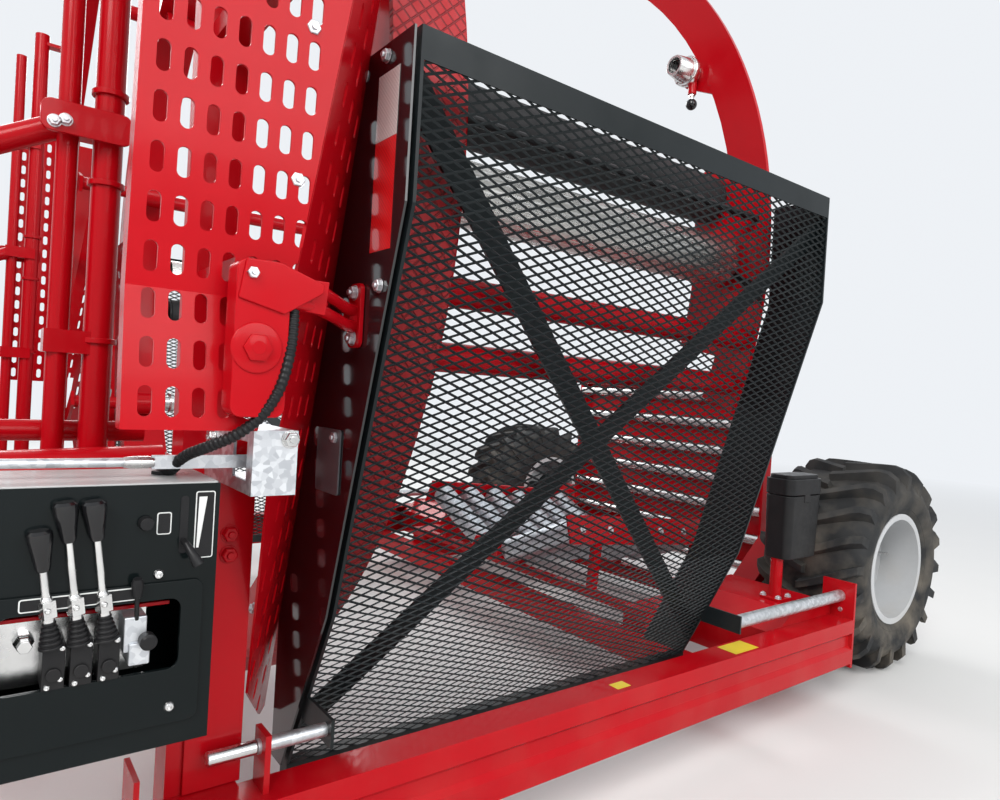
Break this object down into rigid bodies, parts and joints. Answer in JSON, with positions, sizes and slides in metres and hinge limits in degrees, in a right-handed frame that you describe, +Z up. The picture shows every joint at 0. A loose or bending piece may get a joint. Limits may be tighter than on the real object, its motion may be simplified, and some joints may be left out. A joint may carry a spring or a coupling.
{
  "type": "in-line round bale wrapper",
  "caption": "Towed in-line round bale wrapper: feed table with pusher, turning hoop with film dispensers, mesh side guards, rear roller table, folding exit ramp, wheels and drawbar.",
  "frame": {"origin": "on the ground, under the middle of the machine's length and width", "axes": "+X towards the discharge end, the way the bales travel; -Y towards the operator's side; +Z up"},
  "size_m": [6.9334, 2.917, 2.6998],
  "materials": {
    "red_paint": "gloss",
    "black_paint": "gloss",
    "zinc": "satin",
    "bright_steel": "satin",
    "aluminium": "satin",
    "tyre": "matte",
    "roller_rubber": "matte",
    "rim_paint": "satin",
    "table_roller": "matte",
    "black_plastic": "matte",
    "engine_grey": "satin"
  },
  "bodies": {
    "chassis": {"side_rails": "red_paint", "main_beams": "red_paint", "arch_frame": "red_paint", "hoop_guides": "red_paint", "hoop_drive": "black_plastic", "slotted_guards": "red_paint", "end_walls": "black_paint", "mast_tubes": "red_paint", "cabinet_bracket": "red_paint", "guard_latch": "red_paint", "rear_frame": "red_paint", "rear_table_channels": "red_paint", "rear_table_rollers": "table_roller", "rear_wheel_motors": "black_paint", "feed_table_sides": "red_paint", "feed_table_rollers": "table_roller", "trip_bar": "red_paint", "trip_linkage": "zinc", "control_cabinet": "black_paint", "valve_block": "bright_steel", "control_levers": "black_plastic", "document_box": "black_plastic", "engine": "engine_grey", "oil_tank": "red_paint", "pusher_barrel": "black_paint"},
    "hoop": {"hoop_ring": "red_paint", "hoop_belt": "red_paint", "dispenser_frames": "red_paint", "rubber_rollers": "roller_rubber", "ribbed_rollers": "aluminium", "film_cones": "bright_steel"},
    "guard_near": {"mesh_guard_frame_near": "black_paint", "mesh_guard_grille_near": "black_paint"},
    "guard_far": {"mesh_guard_frame_far": "black_paint", "mesh_guard_grille_far": "black_paint"},
    "ramp": {"exit_ramp_frame": "red_paint", "exit_ramp_bars": "bright_steel"},
    "pusher": {"pusher": "red_paint"},
    "stage_1": {"cylinder_stage_1": "bright_steel"},
    "stage_2": {"cylinder_stage_2": "bright_steel"},
    "rear_wheel_near": {"rear_tyre_near": "tyre", "rear_rim_near": "rim_paint"},
    "rear_wheel_far": {"rear_tyre_far": "tyre", "rear_rim_far": "rim_paint"},
    "front_axle": {"front_axle": "red_paint"},
    "front_wheel_near": {"front_tyre_near": "tyre", "front_rim_near": "rim_paint"},
    "front_wheel_far": {"front_tyre_far": "tyre", "front_rim_far": "rim_paint"},
    "drawbar": {"drawbar": "red_paint", "jack_body": "black_paint"},
    "jack_leg": {"jack_leg": "zinc"}
  },
  "joints": [
    {"name": "hoop_turn", "type": "hinge", "parent": "chassis", "child": "hoop", "pos_m": [0.83325, 0, 1.4], "axis": [1, 0, 0], "continuous": true},
    {"name": "guard_near_fold", "type": "hinge", "parent": "chassis", "child": "guard_near", "pos_m": [0.83325, -1.2, 0.36], "axis": [1, 0, 0], "range_deg": [0, 75]},
    {"name": "guard_far_fold", "type": "hinge", "parent": "chassis", "child": "guard_far", "pos_m": [0.83325, 1.2, 0.36], "axis": [-1, 0, 0], "range_deg": [0, 75]},
    {"name": "ramp_fold", "type": "hinge", "parent": "chassis", "child": "ramp", "pos_m": [3.08825, 0, 0.18], "axis": [0, 1, 0], "range_deg": [0, 97]},
    {"name": "pusher_slide", "type": "slide", "parent": "chassis", "child": "pusher", "axis": [1, 0, 0], "range_m": [0, 1.8]},
    {"name": "cylinder_stage_1_slide", "type": "slide", "parent": "chassis", "child": "stage_1", "axis": [1, 0, 0], "range_m": [0, 0.6]},
    {"name": "cylinder_stage_2_slide", "type": "slide", "parent": "chassis", "child": "stage_2", "axis": [1, 0, 0], "range_m": [0, 1.2]},
    {"name": "rear_wheel_near_spin", "type": "hinge", "parent": "chassis", "child": "rear_wheel_near", "pos_m": [3.07325, -1, 0.3935], "axis": [0, 1, 0], "continuous": true},
    {"name": "rear_wheel_far_spin", "type": "hinge", "parent": "chassis", "child": "rear_wheel_far", "pos_m": [3.07325, 1, 0.3935], "axis": [0, 1, 0], "continuous": true},
    {"name": "front_axle_steer", "type": "hinge", "parent": "chassis", "child": "front_axle", "pos_m": [-2.26675, 0, 0.4], "axis": [0, 0, 1], "range_deg": [-30, 30]},
    {"name": "front_wheel_near_spin", "type": "hinge", "parent": "front_axle", "child": "front_wheel_near", "pos_m": [-2.26675, -0.8, 0.275], "axis": [0, 1, 0], "continuous": true},
    {"name": "front_wheel_far_spin", "type": "hinge", "parent": "front_axle", "child": "front_wheel_far", "pos_m": [-2.26675, 0.8, 0.275], "axis": [0, 1, 0], "continuous": true},
    {"name": "drawbar_lift", "type": "hinge", "parent": "front_axle", "child": "drawbar", "pos_m": [-2.62675, 0, 0.3], "axis": [0, 1, 0], "range_deg": [-12, 60]},
    {"name": "jack_slide", "type": "slide", "parent": "drawbar", "child": "jack_leg", "axis": [0, 0, 1], "range_m": [0, 0.24]}
  ],
  "couplings": [
    {"joint": "cylinder_stage_1_slide", "follows": "pusher_slide", "ratio": 0.33333},
    {"joint": "cylinder_stage_2_slide", "follows": "pusher_slide", "ratio": 0.66667}
  ]
}
